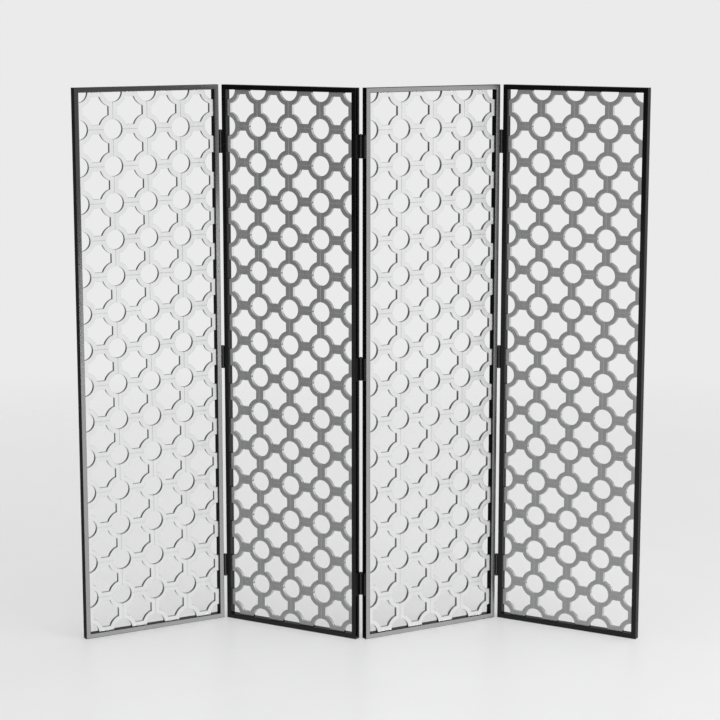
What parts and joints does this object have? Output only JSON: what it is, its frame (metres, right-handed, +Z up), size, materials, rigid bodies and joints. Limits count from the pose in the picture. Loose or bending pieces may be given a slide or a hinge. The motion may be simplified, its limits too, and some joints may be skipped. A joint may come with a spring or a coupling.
{
  "type": "folding screen",
  "caption": "Free-standing folding metal screen: tall box-tube frames around an open lattice of rings and bars, joined edge to edge by butt hinges and standing in a zigzag.",
  "frame": {"origin": "on the floor, under the middle of the bounding box in the zigzag rest pose", "axes": "+X to the right along the screen as seen from the front, +Y from the front to the back, +Z up"},
  "size_m": [1.8304, 0.27, 1.802],
  "materials": {
    "frame_black": "smooth glossy black coating on mitred steel box tube",
    "lattice_polished": "bright satin-polished silver metal",
    "hinge_steel": "dark satin-blackened steel"
  },
  "bodies": {
    "panel_1": {"panel_1_left_stile": "frame_black", "panel_1_right_stile": "frame_black", "panel_1_bottom_rail": "frame_black", "panel_1_top_rail": "frame_black", "panel_1_lattice": "lattice_polished", "hinge_12_bottom_left_leaf": "hinge_steel", "hinge_12_bottom_pin": "hinge_steel", "hinge_12_middle_left_leaf": "hinge_steel", "hinge_12_middle_pin": "hinge_steel", "hinge_12_top_left_leaf": "hinge_steel", "hinge_12_top_pin": "hinge_steel"},
    "panel_2": {"panel_2_left_stile": "frame_black", "panel_2_right_stile": "frame_black", "panel_2_bottom_rail": "frame_black", "panel_2_top_rail": "frame_black", "panel_2_lattice": "lattice_polished", "hinge_12_bottom_right_leaf": "hinge_steel", "hinge_12_middle_right_leaf": "hinge_steel", "hinge_12_top_right_leaf": "hinge_steel", "hinge_23_bottom_left_leaf": "hinge_steel", "hinge_23_bottom_pin": "hinge_steel", "hinge_23_middle_left_leaf": "hinge_steel", "hinge_23_middle_pin": "hinge_steel", "hinge_23_top_left_leaf": "hinge_steel", "hinge_23_top_pin": "hinge_steel"},
    "panel_3": {"panel_3_left_stile": "frame_black", "panel_3_right_stile": "frame_black", "panel_3_bottom_rail": "frame_black", "panel_3_top_rail": "frame_black", "panel_3_lattice": "lattice_polished", "hinge_23_bottom_right_leaf": "hinge_steel", "hinge_23_middle_right_leaf": "hinge_steel", "hinge_23_top_right_leaf": "hinge_steel", "hinge_34_bottom_left_leaf": "hinge_steel", "hinge_34_middle_left_leaf": "hinge_steel", "hinge_34_top_left_leaf": "hinge_steel"},
    "panel_4": {"panel_4_left_stile": "frame_black", "panel_4_right_stile": "frame_black", "panel_4_bottom_rail": "frame_black", "panel_4_top_rail": "frame_black", "panel_4_lattice": "lattice_polished", "hinge_34_bottom_right_leaf": "hinge_steel", "hinge_34_bottom_pin": "hinge_steel", "hinge_34_middle_right_leaf": "hinge_steel", "hinge_34_middle_pin": "hinge_steel", "hinge_34_top_right_leaf": "hinge_steel", "hinge_34_top_pin": "hinge_steel"}
  },
  "joints": [
    {"name": "fold_1_2", "type": "hinge", "parent": "panel_2", "child": "panel_1", "pos_m": [-0.45979, 0.11456, 0.901], "axis": [0, 0, 1], "range_deg": [-59, 121]},
    {"name": "fold_2_3", "type": "hinge", "parent": "panel_2", "child": "panel_3", "pos_m": [0, -0.11456, 0.901], "axis": [0, 0, 1], "range_deg": [-59, 121]},
    {"name": "fold_3_4", "type": "hinge", "parent": "panel_3", "child": "panel_4", "pos_m": [0.45979, 0.11456, 0.901], "axis": [0, 0, -1], "range_deg": [-59, 121]}
  ]
}
